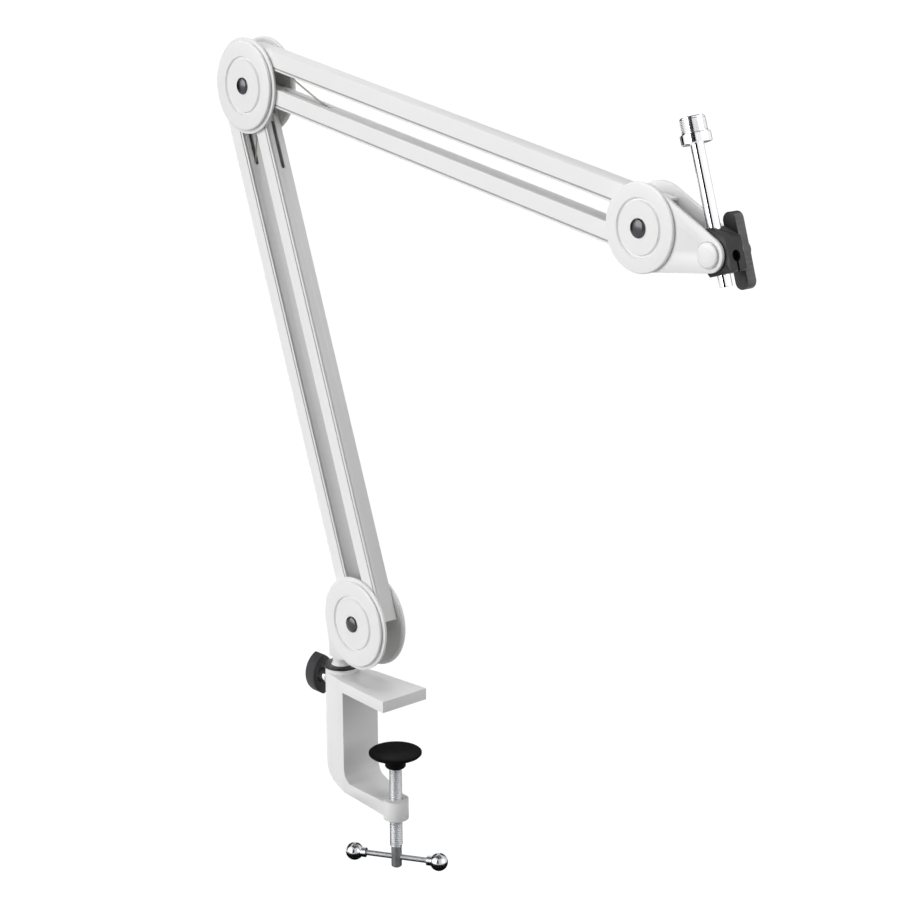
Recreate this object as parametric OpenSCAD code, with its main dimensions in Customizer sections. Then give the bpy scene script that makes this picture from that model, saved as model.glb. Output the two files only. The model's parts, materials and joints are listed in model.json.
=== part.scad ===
// Boom arm for a microphone, clamped to a desk edge. Millimetres.
// Origin: underside of the top jaw, on the axis of the clamp screw. +Z is up, +X runs under the boom.

/* [Arms] */
// distance between the two pivots of a lower bar
lower_len = 386.3; // [320:0.1:460]
// distance between the two pivots of an upper bar
upper_len = 393.3; // [320:0.1:460]
// gap between the pivot centres of the two lower bars
lower_pitch = 29.5; // [28:0.5:30]
// gap between the pivot centres of the two upper bars
upper_pitch = 25.4; // [24:0.2:27]
// lean of the lower bars away from upright, top backwards
lower_lean = 19.65; // [10:0.05:30]
// slope of the upper bars, down towards the microphone
upper_slope = 10.3; // [0:0.1:25]

/* [Bars] */
// depth of a bar in the plane of the arm
bar_depth = 13; // [12:0.5:14]
// width of a bar across the plane of the arm
bar_width = 14; // [13.5:0.1:14.2]
// wall of the bar channel
bar_wall = 1.4; // [1.2:0.1:1.8]
// how far a bar reaches past its pivot
bar_end = 6.8; // [6.5:0.1:7]
// width of the slots that the spring wires pass through
slot_w = 3.4; // [3:0.1:4]
// rounding of the long edges of a bar
bar_round = 1.1; // [0.6:0.1:1.3]

/* [Joint discs] */
// radius of the joint plates at the base and the elbow
plate_r = 34.2; // [34:0.1:37]
// thickness of each joint plate with its liner
plate_t = 2.2; // [1.8:0.1:2.6]
// radius of the covers at the base and the elbow
cover_r = 31.6; // [30:0.1:33]
// radius of the covers at the head
head_cover_r = 27.3; // [26.6:0.1:28]
// thickness of a cover
cover_t = 2.5; // [2:0.1:3]
// radius of the groove ring as a share of the cover radius
ring_share = 0.627; // [0.5:0.001:0.8]
// diameter of the domed cap screws
cap_d = 12; // [10:0.5:14]
// radius of the pivot pins
pin_r = 3; // [2.5:0.1:3.2]

/* [Head] */
// radius of the large end of the head bracket
bracket_r = 26.5; // [26:0.1:28]
// radius of the small end of the head bracket
bracket_small_r = 10.5; // [10:0.1:12]
// distance from the head disc centre to the tilt axle
axle_reach = 53.9; // [50:0.1:58]
// drop of the tilt axle below the head disc centre
axle_drop = 10.2; // [8:0.1:14]
// diameter of the microphone rod
rod_d = 8; // [7:0.5:9]
// length of the microphone rod under the adapter
rod_len = 84; // [70:1:110]
// lean of the rod and its holder, top backwards
rod_lean = 17.2; // [0:0.1:30]
// outer diameter of the microphone thread
thread_d = 15.875; // [15.875]
// length of the microphone thread
thread_len = 9.6; // [8:0.1:14]
// diameter of the adapter collar
collar_d = 18.3; // [18:0.1:20]
// height of the adapter collar
collar_h = 6; // [4:0.5:9]

/* [Clamp] */
// height of the throat between the top jaw and the lower arm
throat_h = 70; // [62:1:85]
// reach of the throat from the screw axis to the spine
throat_reach = 39.4; // [34:0.1:50]
// thickness of the top jaw
jaw_t = 8.4; // [7:0.1:10]
// width of the top jaw at its tip
jaw_w = 40.8; // [36:0.2:44]
// width of the spine at the throat
spine_w = 33; // [29:0.5:34]
// reach of the top jaw in front of the screw axis
jaw_tip = 11.2; // [10:0.1:16]
// distance from the throat face of the spine to the swivel axis
swivel_back = 20.6; // [20:0.1:24]
// diameter of the boss around the clamp screw
boss_d = 18.6; // [17:0.2:20]
// diameter of the clamp screw
screw_d = 9.5; // [8:0.1:10]
// diameter of the clamp pad
pad_d = 38.6; // [34:0.2:40]
// free space under the top jaw with the pad where it stands
pad_gap = 38; // [36:0.5:44]
// length of the cross bar between its ball centres
t_len = 65.3; // [60:0.1:80]
// diameter of the cross bar
t_rod_d = 4; // [3:0.1:4.4]
// diameter of the balls on the cross bar
t_ball_d = 13.2; // [10:0.1:15]
// turn of the cross bar about the screw as it stands
t_turn = 31; // [0:1:90]
// diameter of the swivel spigot
spigot_d = 11; // [10:0.5:12.5]
// length of the spigot inside the clamp
spigot_len = 36; // [30:1:42]

/* [Fits] */
// radial play of a turning or sliding fit
play = 0.05; // [0.03:0.01:0.08]
// side play between moving pieces that must not touch
side_gap = 0.2; // [0.15:0.05:0.3]

/* [Hidden] */
$fn = 64;
base_c = [-32.4, 53.6];
lower_dir = [sin(lower_lean), -cos(lower_lean)];
lower_nrm = [cos(lower_lean), sin(lower_lean)];
upper_dir = [cos(upper_slope), -sin(upper_slope)];
upper_nrm = [sin(upper_slope), cos(upper_slope)];
base_right = base_c + [20, 11.4];
base_left = base_right - lower_pitch * lower_nrm;
shared = base_right - lower_len * lower_dir;
elbow_c = shared - [3.9, -2.2];
elbow_left = shared - lower_pitch * lower_nrm;
elbow_top = shared + upper_pitch * upper_nrm;
head_low = shared + upper_len * upper_dir;
head_top = head_low + upper_pitch * upper_nrm;
head_c = head_low + [-1.9, 12.4];
axle_c = head_c + [sqrt(axle_reach * axle_reach - axle_drop * axle_drop), -axle_drop];
half_w = bar_width / 2;
half_d = bar_depth / 2;
plate_in = half_w + side_gap;
liner_t = 0.7;
plate_out = plate_in + liner_t + plate_t - 0.5;
liner_r = plate_r - 1.4;
cap_base = plate_out + cover_t;
head_rear_r = head_cover_r - 2.8;
head_plate_in = half_w + side_gap;
head_plate_out = head_plate_in + 2.3;
cap_rise = 2.4;
cap_shank_r = 2.5;
strip_cap_t = 0.9;
seam = 0.8;
strip_depth = 2.4;
inner_d = half_d - bar_wall;
inner_front = -half_w + strip_cap_t + strip_depth;
inner_back = half_w - bar_wall;
eye_r = half_d - 0.3;
eye_cheek = 2.5;
fork_gap = 0.2;
fork_in = half_w - eye_cheek;
fork_start = 22;
bridge_t = 2;
plug_len = 4;
wire_r = 0.6;
wire_eye_t = 1.4;
spring_r = 3.5;
lower_hook = 57;
upper_hook = 98.6;
lower_slot_end = 50;
right_slot_end = 60.6;
upper_slot_end = 84;
top_slot_end = 46;
spring_len = 120;
swivel_x = -throat_reach - swivel_back;
spine_r = 12.4;
seat_h = 3.4;
washer_t = 1.6;
washer_r = 13.4;
stud_z = -1.4;
stud_r = 3;
washer_z = jaw_t + seat_h;
neck_z = washer_z + washer_t;
neck_r = spigot_d / 2 + 1.1;
neck_flare = 0.45;
knob_x = swivel_x - 32;
knob_t = 10;
knob_arc_r = 17.5;
knob_arc_y = 7.5;
stud_collar_r = 5.5;
stud_collar_x = knob_t - 1.4;
boss_h = 15;
jaw_low = -throat_h - 5;
pad_t = 3;
pad_hub_h = 9;
pad_hub_r = 7.6;
pad_pivot_r = 2.2;
pad_top = -pad_gap;
pad_bottom = pad_top - pad_t - pad_hub_h;
screw_plain_len = 15.8;
screw_thread_bottom = pad_bottom - 62.7;
screw_bottom = screw_thread_bottom - screw_plain_len;
t_z = screw_thread_bottom - 8.3;
holder_half = half_w - 0.1;
wing_w = 9.7;
wing_t = 7.5;
wing_span = 46.2;
wing_y = head_plate_out + 4.6;
wing_hub_r = 5.3;
axle_r = 4;
axle_head_r = 5.5;
axle_len_in = 2;
grub_r = 3.4;
grub_z = -3.4;
block_foot = 12.5;
block_face = 12.5;
rod_foot = 19.5;
rod_in_adapter = 3;

// helpers: placing things in the plane of the arm

module at(p) {
  translate([p[0], 0, p[1]]) children();
}

module along_lower(p) {
  at(p) rotate([0, 90 - lower_lean, 0]) children();
}

module along_upper(p) {
  at(p) rotate([0, upper_slope, 0]) children();
}

// solid round piece lying across the arm, from y0 to y1
module across(r, y0, y1) {
  translate([0, y0, 0]) rotate([-90, 0, 0]) cylinder(r = r, h = y1 - y0);
}

// ring lying across the arm
module ring_across(r, bore, y0, y1) {
  difference() {
    across(r, y0, y1);
    across(bore, y0 - 1, y1 + 1);
  }
}

// bars

// cross section of the channel: x of the sketch is across the arm, y is the depth
module channel_section() {
  front = -half_w + strip_cap_t + seam;
  difference() {
    union() {
      translate([front, -half_d + bar_round]) square([half_w - front, bar_depth - 2 * bar_round]);
      translate([front + 1.2, -half_d]) square([half_w - front - 1.2 - bar_round, bar_depth]);
      for (s = [-1, 1])
        translate([half_w - bar_round, s * (half_d - bar_round)]) circle(r = bar_round);
      polygon([[front, -half_d + 0.35], [front + 1.4, -half_d], [front + 1.4, half_d], [front, half_d - 0.35]]);
    }
    translate([front - 1, -inner_d]) square([inner_back - front + 1, 2 * inner_d]);
  }
}

module strip_section() {
  union() {
    translate([-half_w + 0.4, -half_d]) square([strip_cap_t - 0.4, bar_depth]);
    translate([-half_w, -half_d + 0.4]) square([strip_cap_t, bar_depth - 0.8]);
    for (s = [-1, 1])
      translate([-half_w + 0.4, s * (half_d - 0.4)]) circle(r = 0.4);
    translate([-half_w + 0.4, -inner_d]) square([strip_cap_t - 0.4 + strip_depth, 2 * inner_d]);
  }
}

module extrude_bar(x0, x1) {
  translate([x0, 0, 0]) rotate([90, 0, 90]) linear_extrude(x1 - x0) children();
}

// slot through the wall on the side s of a bar, open from x0 to x1
module wire_slot(x0, x1, s) {
  translate([0, 0, s * half_d]) {
    translate([x0, -slot_w / 2, -2]) cube([x1 - slot_w / 2 - x0, slot_w, 4]);
    translate([x1 - slot_w / 2, 0, -2]) cylinder(d = slot_w, h = 4);
  }
}

module pin_holes(xs) {
  for (x = xs)
    translate([x, 0, 0]) across(pin_r + 0.3, -half_w - 1, half_w + 1);
}

// plain sleeve that turns on a pin inside a bar
module sleeve(x) {
  translate([x, 0, 0]) ring_across(inner_d, pin_r + play, inner_front, inner_back);
}

// sleeve in two halves that leaves the middle free for a wire eye
module split_sleeve(x) {
  translate([x, 0, 0]) {
    ring_across(inner_d, pin_r + play, inner_front, -wire_eye_t / 2 - side_gap);
    ring_across(inner_d, pin_r + play, wire_eye_t / 2 + side_gap, inner_back);
  }
}

// plug and two cheeks that carry an eye on the shared pin; cheeks lie from y0 to y1 on both sides
module cheeks(y0, y1) {
  for (s = [0, 1])
    mirror([0, s, 0])
      difference() {
        union() {
          across(eye_r, y0, y1);
          translate([0, y0, -eye_r]) cube([fork_start, y1 - y0, 2 * eye_r]);
        }
        across(pin_r + play, y0 - 1, y1 + 1);
      }
  translate([fork_start - bridge_t, -y1, -eye_r]) cube([bridge_t, 2 * y1, 2 * eye_r]);
  translate([fork_start - 0.5, inner_front, -inner_d]) cube([plug_len, inner_back - inner_front, 2 * inner_d]);
}

module spring_body(hook) {
  translate([hook + 4, 0, 0]) rotate([0, 90, 0]) difference() {
    cylinder(r = spring_r, h = spring_len);
    translate([0, 0, 1.5]) cylinder(r = spring_r - 1, h = spring_len - 3);
  }
  translate([hook, 0, 0]) rotate([0, 90, 0]) cylinder(r = wire_r, h = 5);
  translate([hook + spring_len + 3, 0, 0]) rotate([0, 90, 0]) cylinder(r = wire_r, h = 5 - pin_r / 2);
}

module spring_pin(hook) {
  translate([hook + spring_len + 8, 0, 0]) across(1.5, inner_front, half_w);
}

// straight wire from an eye at height z0 down to the middle of the bar at x = hook
module wire(z0, hook, z_end) {
  run = hook * (z0 - z_end) / z0;
  length = sqrt(run * run + (z0 - z_end) * (z0 - z_end));
  drop = atan2(z0, hook);
  translate([0, 0, z0]) {
    ring_across(pin_r + play + 1.2, pin_r + play, -wire_eye_t / 2, wire_eye_t / 2);
    rotate([0, 90 + drop, 0]) translate([0, 0, pin_r + 0.6]) cylinder(r = wire_r, h = length - pin_r - 0.6);
  }
}

// clamp

// half the width of the lower arm at x, from the spine down to the boss
function low_half(x) = boss_d / 2 - x * (spine_w - boss_d) / 2 / throat_reach;

module plan_top() {
  polygon([
    [jaw_tip, -jaw_w / 2], [jaw_tip, jaw_w / 2], [-throat_reach, spine_w / 2],
    [swivel_x, spine_r], [swivel_x, -spine_r], [-throat_reach, -spine_w / 2]
  ]);
  translate([swivel_x, 0]) circle(r = spine_r);
}

// spine and lower arm seen from above
module plan_low() {
  polygon([
    [0, -low_half(0)], [0, low_half(0)], [-throat_reach, low_half(-throat_reach)],
    [swivel_x, spine_r], [swivel_x, -spine_r], [-throat_reach, -low_half(-throat_reach)]
  ]);
  translate([swivel_x, 0]) circle(r = spine_r);
  circle(d = boss_d);
}

// spine and lower arm seen from the side
module side_low() {
  b = swivel_x - 14;
  t = -throat_reach;
  polygon([
    [b, 0], [b, -34], [b + 8.5, jaw_low + 9], [b + 12, jaw_low + 4], [b + 18, jaw_low], [t - 4, jaw_low - 2.5],
    [t + 13, jaw_low - 6], [0, jaw_low - 12], [boss_d, jaw_low - 14], [boss_d, jaw_low - 3], [0, jaw_low - 1],
    [t + 12, jaw_low + 3.2], [t + 5, jaw_low + 4.6], [t + 2.4, jaw_low + 7.2], [t + 0.6, jaw_low + 11], [t, jaw_low + 16], [t, 0]
  ]);
}

module lie_across(w) {
  translate([0, w / 2, 0]) rotate([90, 0, 0]) linear_extrude(w) children();
}

module clamp_frame() {
  color([0.93, 0.93, 0.93])
  difference() {
    union() {
      linear_extrude(jaw_t) plan_top();
      intersection() {
        translate([0, 0, -throat_h - 30]) linear_extrude(throat_h + 31) plan_low();
        lie_across(2 * spine_w) side_low();
      }
      translate([0, 0, jaw_low - boss_h]) cylinder(d = boss_d, h = boss_h);
      translate([swivel_x, 0, jaw_t]) cylinder(r = spine_r - 0.4, h = seat_h);
    }
    translate([0, 0, jaw_low - boss_h - 1]) cylinder(d = screw_d + 2 * play, h = boss_h + 12);
    translate([swivel_x, 0, -spigot_len - 1]) cylinder(d = spigot_d + 2 * play, h = spigot_len + washer_z + 2);
    translate([swivel_x - 20, 0, stud_z]) rotate([0, 90, 0]) cylinder(r = stud_r + play, h = 18);
  }
}

module swivel_washer() {
  color([0.1, 0.1, 0.1])
  translate([swivel_x, 0, washer_z])
  difference() {
    cylinder(r = washer_r, h = washer_t);
    translate([0, 0, -1]) cylinder(d = spigot_d + 2 * play, h = washer_t + 2);
  }
}

module along_stud(x) {
  translate([x, 0, stud_z]) rotate([0, 90, 0]) children();
}

module swivel_stud() {
  color([0.75, 0.75, 0.77])
  union() {
    along_stud(knob_x + 3) cylinder(r = stud_r, h = swivel_x - spigot_d / 2 - 0.1 - knob_x - 3);
    along_stud(knob_x + stud_collar_x) cylinder(r = stud_collar_r, h = 8.6);
  }
}

// thumb screw head: a pointed oval, upright as it stands
module swivel_knob() {
  color([0.12, 0.12, 0.12])
  difference() {
    intersection() {
      along_stud(knob_x) translate([0, knob_arc_y, 0]) cylinder(r = knob_arc_r, h = knob_t);
      along_stud(knob_x) translate([0, -knob_arc_y, 0]) cylinder(r = knob_arc_r, h = knob_t);
    }
    along_stud(knob_x + 3) cylinder(r = stud_r, h = knob_t);
    along_stud(knob_x + stud_collar_x) cylinder(r = stud_collar_r, h = knob_t);
  }
}

module clamp_screw() {
  color([0.78, 0.78, 0.8])
  difference() {
    union() {
      translate([0, 0, screw_thread_bottom]) cylinder(d = screw_d, h = pad_bottom + 3 - screw_thread_bottom);
      translate([0, 0, screw_bottom]) cylinder(d = screw_d - 1.8, h = screw_plain_len);
      translate([0, 0, pad_bottom + 2.9]) cylinder(r = pad_pivot_r, h = pad_hub_h - 3.9);
    }
    translate([0, 0, t_z]) rotate([0, 0, t_turn]) rotate([0, 90, 0]) cylinder(d = t_rod_d + 2 * play, h = 30, center = true);
  }
}

module clamp_pad() {
  color([0.08, 0.08, 0.08])
  translate([0, 0, pad_bottom])
  rotate_extrude() polygon([
    [screw_d / 2 + 0.25, 0], [pad_hub_r - 0.6, 0], [pad_hub_r, 0.8], [pad_hub_r, pad_hub_h - 3.4],
    [pad_hub_r + 4, pad_hub_h - 1.6], [pad_d / 2 - 0.8, pad_hub_h + 0.6], [pad_d / 2, pad_hub_h + 1.4], [pad_d / 2, pad_hub_h + pad_t - 0.5],
    [pad_d / 2 - 0.6, pad_hub_h + pad_t], [pad_d / 2 - 3, pad_hub_h + pad_t], [6, pad_hub_h + 1.9], [0, pad_hub_h + 1.6],
    [0, pad_hub_h - 0.8], [pad_pivot_r + play, pad_hub_h - 0.8], [pad_pivot_r + play, 3.2], [screw_d / 2 + 0.25, 3.2]
  ]);
}

module t_bar_rod() {
  color([0.8, 0.8, 0.82])
  translate([0, 0, t_z]) rotate([0, 0, t_turn]) rotate([0, 90, 0]) cylinder(d = t_rod_d, h = t_len - 4, center = true);
}

module t_bar_balls() {
  color([0.8, 0.8, 0.82])
  translate([0, 0, t_z]) rotate([0, 0, t_turn])
  for (s = [-1, 1])
    difference() {
      union() {
        translate([s * t_len / 2, 0, 0]) sphere(d = t_ball_d);
        translate([s * (t_len / 2 - 6), 0, 0]) rotate([0, 90, 0]) cylinder(r = 3.6, h = 6, center = true);
      }
      rotate([0, 90, 0]) cylinder(d = t_rod_d, h = t_len - 4, center = true);
    }
}

// base

module base_spigot() {
  color([0.7, 0.7, 0.72])
  translate([swivel_x, 0, -spigot_len + 2]) cylinder(d = spigot_d, h = spigot_len - 2 + neck_z + 10);
}

module base_neck() {
  color([0.93, 0.93, 0.93])
  difference() {
    union() {
      translate([swivel_x, 0, neck_z]) cylinder(r1 = neck_r + 1.2, r2 = neck_r, h = 2);
      translate([swivel_x, 0, neck_z + 1]) cylinder(r1 = neck_r, r2 = neck_r + neck_flare, h = 18);
      lie_across(2 * (plate_in + liner_t)) polygon([
        [swivel_x - 4.8, neck_z + 7], [swivel_x + 7, neck_z + 7], [base_c[0] - 8, 23],
        [base_c[0] + 2, 23], [base_c[0] - 2, 36], [base_c[0] - 14, 41], [swivel_x - 4.8, 41]
      ]);
    }
    translate([swivel_x, 0, 0]) cylinder(d = spigot_d, h = neck_z + 10);
  }
}

// round plate with a tab that runs down to the neck
module base_plate(y0, y1) {
  difference() {
    union() {
      at(base_c) across(plate_r, y0, y1);
      translate([0, y0, 0]) mirror([0, 1, 0]) rotate([90, 0, 0]) linear_extrude(y1 - y0) polygon([
        [swivel_x + 0.5, neck_z + 7], [swivel_x + 7, neck_z + 7], [base_c[0] - 10, 23],
        [base_c[0], 40], [base_c[0] - plate_r + 4, 60], [swivel_x - 4.5, 40], [swivel_x - 2, 29]
      ]);
    }
    for (p = [base_right, base_left])
      at(p) across(pin_r, y0 - 1, y1 + 1);
    at(base_c) across(cap_shank_r, y0 - 1, y1 + 1);
  }
}

module base_front_plate() {
  color([0.93, 0.93, 0.93]) base_plate(-plate_out, -plate_in - liner_t);
}

module base_rear_plate() {
  color([0.93, 0.93, 0.93]) base_plate(plate_in + liner_t, plate_out);
}

module liner_pair(centre, pins) {
  for (s = [0, 1])
    mirror([0, s, 0])
      difference() {
        at(centre) across(liner_r, plate_in, plate_in + liner_t);
        for (p = pins)
          at(p) across(pin_r, plate_in - 1, plate_out);
      }
}

module base_liners() {
  color([0.45, 0.45, 0.45])
  difference() {
    liner_pair(base_c, [base_right, base_left]);
    lie_across(4 * plate_in) polygon([
      [swivel_x - 30, 0], [base_c[0] + 3, 0], [base_c[0] + 3, 23], [base_c[0] - 1.5, 36.5], [base_c[0] - 14, 41.5], [swivel_x - 30, 41.5]
    ]);
  }
}

// flat cover with a turned ring, a rounded rim and a stepped back
module cover(r) {
  ring = r * ring_share;
  rotate([90, 0, 0]) rotate_extrude() polygon([
    [cap_shank_r, 0], [r - 1.2, 0], [r - 1.2, 0.7], [r, 0.7], [r, cover_t - 1], [r - 0.3, cover_t - 0.3],
    [r - 1, cover_t], [ring + 1.5, cover_t], [ring + 0.6, cover_t - 0.9], [ring - 0.6, cover_t - 0.9],
    [ring - 1.5, cover_t], [cap_shank_r, cover_t]
  ]);
}

module covers_at(centre, out, r, rear) {
  at(centre) mirror([0, rear, 0]) translate([0, -out, 0]) cover(r);
}

// domed screw whose head rests on the cover and whose shank ends in the plate
module cap_screw(inner, outer) {
  rotate([90, 0, 0]) union() {
    translate([0, 0, inner]) cylinder(r = cap_shank_r, h = outer - inner + 0.1);
    translate([0, 0, outer]) rotate_extrude() polygon([
      [0, 0], [cap_d / 2, 0], [cap_d / 2, 0.5], [cap_d / 2 - 0.5, 1.1], [cap_d / 2 - 1.4, 1.65],
      [cap_d / 2 - 2.8, 2.1], [cap_d / 2 - 4.4, 2.35], [0, cap_rise]
    ]);
  }
}

module cap_pair(centre, inner, outer) {
  at(centre)
    for (s = [0, 1])
      mirror([0, s, 0]) cap_screw(inner, outer);
}

module base_front_cover() {
  color([0.95, 0.95, 0.95]) covers_at(base_c, plate_out, cover_r, 0);
}

module base_rear_cover() {
  color([0.95, 0.95, 0.95]) covers_at(base_c, plate_out, cover_r, 1);
}

module base_caps() {
  color([0.2, 0.2, 0.2]) cap_pair(base_c, plate_in + liner_t, cap_base);
}

module base_pins() {
  color([0.7, 0.7, 0.72])
  for (p = [base_right, base_left])
    at(p) across(pin_r, -plate_out, plate_out);
}

// lower bars

module lower_right_channel() {
  color([0.93, 0.93, 0.93])
  along_lower(shared)
  difference() {
    extrude_bar(fork_start, lower_len + bar_end) channel_section();
    pin_holes([lower_len]);
    wire_slot(fork_start - 5, right_slot_end, 1);
  }
}

module lower_right_strip() {
  color([0.95, 0.95, 0.95])
  along_lower(shared)
  difference() {
    extrude_bar(fork_start, lower_len + bar_end) strip_section();
    pin_holes([lower_len]);
  }
}

module lower_right_ends() {
  color([0.3, 0.3, 0.3])
  along_lower(shared) {
    sleeve(lower_len);
    cheeks(fork_in, half_w);
  }
}

module lower_left_channel() {
  color([0.93, 0.93, 0.93])
  along_lower(elbow_left)
  difference() {
    extrude_bar(-bar_end, lower_len + bar_end) channel_section();
    pin_holes([0, lower_len]);
    wire_slot(18, lower_slot_end, 1);
    translate([lower_hook + spring_len + 8, 0, 0]) across(1.5, inner_back - 1, half_w + 1);
  }
}

module lower_left_strip() {
  color([0.95, 0.95, 0.95])
  along_lower(elbow_left)
  difference() {
    extrude_bar(-bar_end, lower_len + bar_end) strip_section();
    pin_holes([0, lower_len]);
  }
}

module lower_left_ends() {
  color([0.3, 0.3, 0.3])
  along_lower(elbow_left) {
    sleeve(0);
    sleeve(lower_len);
  }
}

module lower_spring() {
  color([0.6, 0.6, 0.62]) along_lower(elbow_left) spring_body(lower_hook);
}

module lower_spring_pin() {
  color([0.7, 0.7, 0.72]) along_lower(elbow_left) spring_pin(lower_hook);
}

module lower_wire() {
  color([0.5, 0.45, 0.4]) along_lower(elbow_left) wire(lower_pitch, lower_hook, 4.5);
}

// elbow

module elbow_plate(y0, y1) {
  difference() {
    at(elbow_c) across(plate_r, y0, y1);
    for (p = [shared, elbow_left, elbow_top])
      at(p) across(pin_r, y0 - 1, y1 + 1);
  }
}

module elbow_front_plate() {
  color([0.93, 0.93, 0.93]) elbow_plate(-plate_out, -plate_in - liner_t);
}

module elbow_rear_plate() {
  color([0.93, 0.93, 0.93]) elbow_plate(plate_in + liner_t, plate_out);
}

module elbow_liners() {
  color([0.45, 0.45, 0.45]) liner_pair(elbow_c, [shared, elbow_left, elbow_top]);
}

module elbow_front_cover() {
  color([0.95, 0.95, 0.95]) covers_at(elbow_c, plate_out, cover_r, 0);
}

module elbow_rear_cover() {
  color([0.95, 0.95, 0.95]) covers_at(elbow_c, plate_out, cover_r, 1);
}

module elbow_caps() {
  color([0.2, 0.2, 0.2]) cap_pair(elbow_c, plate_out, cap_base);
}

module elbow_pins() {
  color([0.7, 0.7, 0.72])
  for (p = [shared, elbow_left, elbow_top])
    at(p) across(pin_r, -plate_out, plate_out);
}

// upper bars

module upper_low_channel() {
  color([0.93, 0.93, 0.93])
  along_upper(shared)
  difference() {
    extrude_bar(fork_start, upper_len + bar_end) channel_section();
    pin_holes([upper_len]);
    wire_slot(fork_start + 6, upper_slot_end, 1);
    translate([upper_hook + spring_len + 8, 0, 0]) across(1.5, inner_back - 1, half_w + 1);
  }
}

module upper_low_strip() {
  color([0.95, 0.95, 0.95])
  along_upper(shared)
  difference() {
    extrude_bar(fork_start, upper_len + bar_end) strip_section();
    pin_holes([upper_len]);
  }
}

module upper_low_ends() {
  color([0.3, 0.3, 0.3])
  along_upper(shared) {
    sleeve(upper_len);
    cheeks(wire_eye_t / 2 + side_gap + 0.6, fork_in - fork_gap);
  }
}

module upper_spring() {
  color([0.6, 0.6, 0.62]) along_upper(shared) spring_body(upper_hook);
}

module upper_spring_pin() {
  color([0.7, 0.7, 0.72]) along_upper(shared) spring_pin(upper_hook);
}

module upper_top_channel() {
  color([0.93, 0.93, 0.93])
  along_upper(elbow_top)
  difference() {
    extrude_bar(-bar_end, upper_len + bar_end) channel_section();
    pin_holes([0, upper_len]);
    wire_slot(4, top_slot_end, -1);
  }
}

module upper_top_strip() {
  color([0.95, 0.95, 0.95])
  along_upper(elbow_top)
  difference() {
    extrude_bar(-bar_end, upper_len + bar_end) strip_section();
    pin_holes([0, upper_len]);
  }
}

module upper_top_ends() {
  color([0.3, 0.3, 0.3])
  along_upper(elbow_top) {
    split_sleeve(0);
    sleeve(upper_len);
  }
}

module upper_wire() {
  color([0.5, 0.45, 0.4]) along_upper(shared) wire(upper_pitch, upper_hook, 2);
}

// head

// outline of the bracket plate: two discs joined by their outer tangents
module tear_drop(y0, y1) {
  d = axle_c - head_c;
  dist = norm(d);
  ex = d / dist;
  nx = [-ex[1], ex[0]];
  sb = (bracket_r - bracket_small_r) / dist;
  cb = sqrt(1 - sb * sb);
  at(head_c) across(bracket_r, y0, y1);
  at(axle_c) across(bracket_small_r, y0, y1);
  translate([0, y0, 0]) mirror([0, 1, 0]) rotate([90, 0, 0]) linear_extrude(y1 - y0) polygon([
    head_c + bracket_r * (sb * ex + cb * nx), axle_c + bracket_small_r * (sb * ex + cb * nx),
    axle_c + bracket_small_r * (sb * ex - cb * nx), head_c + bracket_r * (sb * ex - cb * nx)
  ]);
}

module head_plate(y0, y1) {
  difference() {
    tear_drop(y0, y1);
    for (p = [head_low, head_top])
      at(p) across(pin_r, y0 - 1, y1 + 1);
    at(head_c) across(cap_shank_r, y0 - 1, y1 + 1);
    at(axle_c) across(axle_r + play, y0 - 1, y1 + 1);
  }
}

module head_front_plate() {
  color([0.95, 0.95, 0.95]) head_plate(-head_plate_out, -head_plate_in);
}

module head_rear_plate() {
  color([0.95, 0.95, 0.95]) head_plate(head_plate_in, head_plate_out);
}

module head_front_cover() {
  color([0.95, 0.95, 0.95]) covers_at(head_c, head_plate_out, head_cover_r, 0);
}

module head_rear_cover() {
  color([0.95, 0.95, 0.95]) covers_at(head_c, head_plate_out, head_rear_r, 1);
}

module head_caps() {
  color([0.2, 0.2, 0.2]) cap_pair(head_c, head_plate_in, head_plate_out + cover_t);
}

module head_pins() {
  color([0.7, 0.7, 0.72])
  for (p = [head_low, head_top])
    at(p) across(pin_r, -head_plate_out, head_plate_out);
}

// microphone holder; the sketch frame has x along the clamping direction and z along the rod

module holder_frame() {
  at(axle_c) rotate([0, -rod_lean, 0]) children();
}

module axle_screw() {
  color([0.7, 0.7, 0.72])
  holder_frame() {
    across(axle_r, -head_plate_out - 0.1, -holder_half + axle_len_in);
    across(axle_head_r, -head_plate_out - 0.9, -head_plate_out - 0.1);
  }
}

// thin ring that shows around the cap of the tilt axle
module axle_ring() {
  color([0.55, 0.55, 0.55])
  holder_frame() ring_across(8.1, axle_head_r + play, -head_plate_out - 0.55, -head_plate_out - 0.05);
}

module axle_cap() {
  color([0.97, 0.97, 0.97])
  holder_frame()
    translate([0, -head_plate_out - 0.55, 0]) rotate([90, 0, 0]) difference() {
      rotate_extrude() polygon([[0, 0], [7.5, 0], [7.5, 0.5], [6.8, 1.1], [4.5, 1.6], [0, 1.9]]);
      translate([0, 0, -1]) cylinder(r = axle_head_r, h = 1.35);
    }
}

module holder_block() {
  color([0.13, 0.13, 0.13])
  holder_frame()
  difference() {
    intersection() {
      lie_across(2 * holder_half) polygon([
        [-7.5, -block_foot + 2], [-5.5, -block_foot], [block_face, -block_foot], [block_face, 7.5], [2.5, 15.2], [-5, 15.2], [-7.5, 12]
      ]);
      across(17, -holder_half, holder_half);
    }
    translate([0, 0, -20]) cylinder(d = rod_d + 2 * play, h = 40);
    translate([0, 0, grub_z]) rotate([0, 90, 0]) cylinder(r = grub_r, h = block_face + 2);
    translate([0, -0.8, -block_foot - 1]) cube([block_face + 2, 1.6, block_foot + 1]);
    across(axle_r, -holder_half - 1, -holder_half + axle_len_in);
    across(axle_r + play, 0, holder_half + 1);
  }
}

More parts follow.
